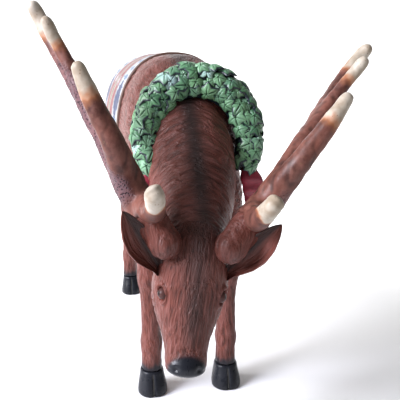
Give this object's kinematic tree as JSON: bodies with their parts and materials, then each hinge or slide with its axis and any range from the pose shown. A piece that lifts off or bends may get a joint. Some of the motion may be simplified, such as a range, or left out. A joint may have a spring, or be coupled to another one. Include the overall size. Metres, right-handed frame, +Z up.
{
  "type": "life-size grazing reindeer garden figure",
  "caption": "Life-size hollow moulded reindeer figure, head down as if grazing, with lift-out antlers, an ivy garland, a ribbon and a patterned saddle blanket.",
  "frame": {"origin": "on the ground under the middle of the figure's bounding box", "axes": "+Z up, -Y the way the reindeer faces, +X the reindeer's own left"},
  "size_m": [0.9604, 1.5282, 1.2087],
  "materials": {
    "fur_brown": "reddish brown paint on moulded resin, semi-gloss, engraved fur",
    "muzzle_paint": "brown fur fading into a semi-gloss black nose",
    "eye_gloss": "dark glossy paint with a pale lid",
    "antler_paint": "brown paint with cream tips and fine specks",
    "hoof_black": "semi-gloss black paint",
    "ivy_green": "green paint with pale highlights and dark gaps",
    "ribbon_red": "dark red satin paint on moulded folds",
    "blanket_paint": "painted bands in red, blue, white and cream",
    "frame_steel": "mill finish",
    "insert_brass": "turned"
  },
  "bodies": {
    "statue": {"torso_shell_left": "fur_brown", "torso_shell_right": "fur_brown", "neck_head_shell_left": "fur_brown", "neck_head_shell_right": "fur_brown", "muzzle": "muzzle_paint", "eye_left": "eye_gloss", "eye_right": "eye_gloss", "ear_left": "fur_brown", "ear_right": "fur_brown", "pedicle_left": "fur_brown", "pedicle_right": "fur_brown", "tail": "fur_brown", "front_leg_shell_left": "fur_brown", "front_leg_shell_right": "fur_brown", "rear_leg_shell_left": "fur_brown", "rear_leg_shell_right": "fur_brown", "front_hoof_left": "hoof_black", "front_hoof_right": "hoof_black", "rear_hoof_left": "hoof_black", "rear_hoof_right": "hoof_black", "front_insert_left": "insert_brass", "front_insert_right": "insert_brass", "rear_insert_left": "insert_brass", "rear_insert_right": "insert_brass", "front_rod_left": "frame_steel", "front_rod_right": "frame_steel", "rear_rod_left": "frame_steel", "rear_rod_right": "frame_steel", "front_cross_bar": "frame_steel", "rear_cross_bar": "frame_steel", "spine_tube": "frame_steel", "neck_tube": "frame_steel", "antler_socket_left": "frame_steel", "antler_socket_right": "frame_steel", "garland": "ivy_green", "ribbon_band": "ribbon_red", "ribbon_tail_left": "ribbon_red", "ribbon_tail_right": "ribbon_red", "saddle_blanket": "blanket_paint"},
    "antler_left": {"antler_casting_left": "antler_paint", "antler_peg_left": "frame_steel"},
    "antler_right": {"antler_casting_right": "antler_paint", "antler_peg_right": "frame_steel"}
  },
  "joints": [
    {"name": "antler_left_lift", "type": "slide", "parent": "statue", "child": "antler_left", "axis": [0.6874, 0.3467, 0.6381], "range_m": [0, 0.07]},
    {"name": "antler_right_lift", "type": "slide", "parent": "statue", "child": "antler_right", "axis": [-0.4761, 0.4081, 0.7789], "range_m": [0, 0.07]}
  ]
}
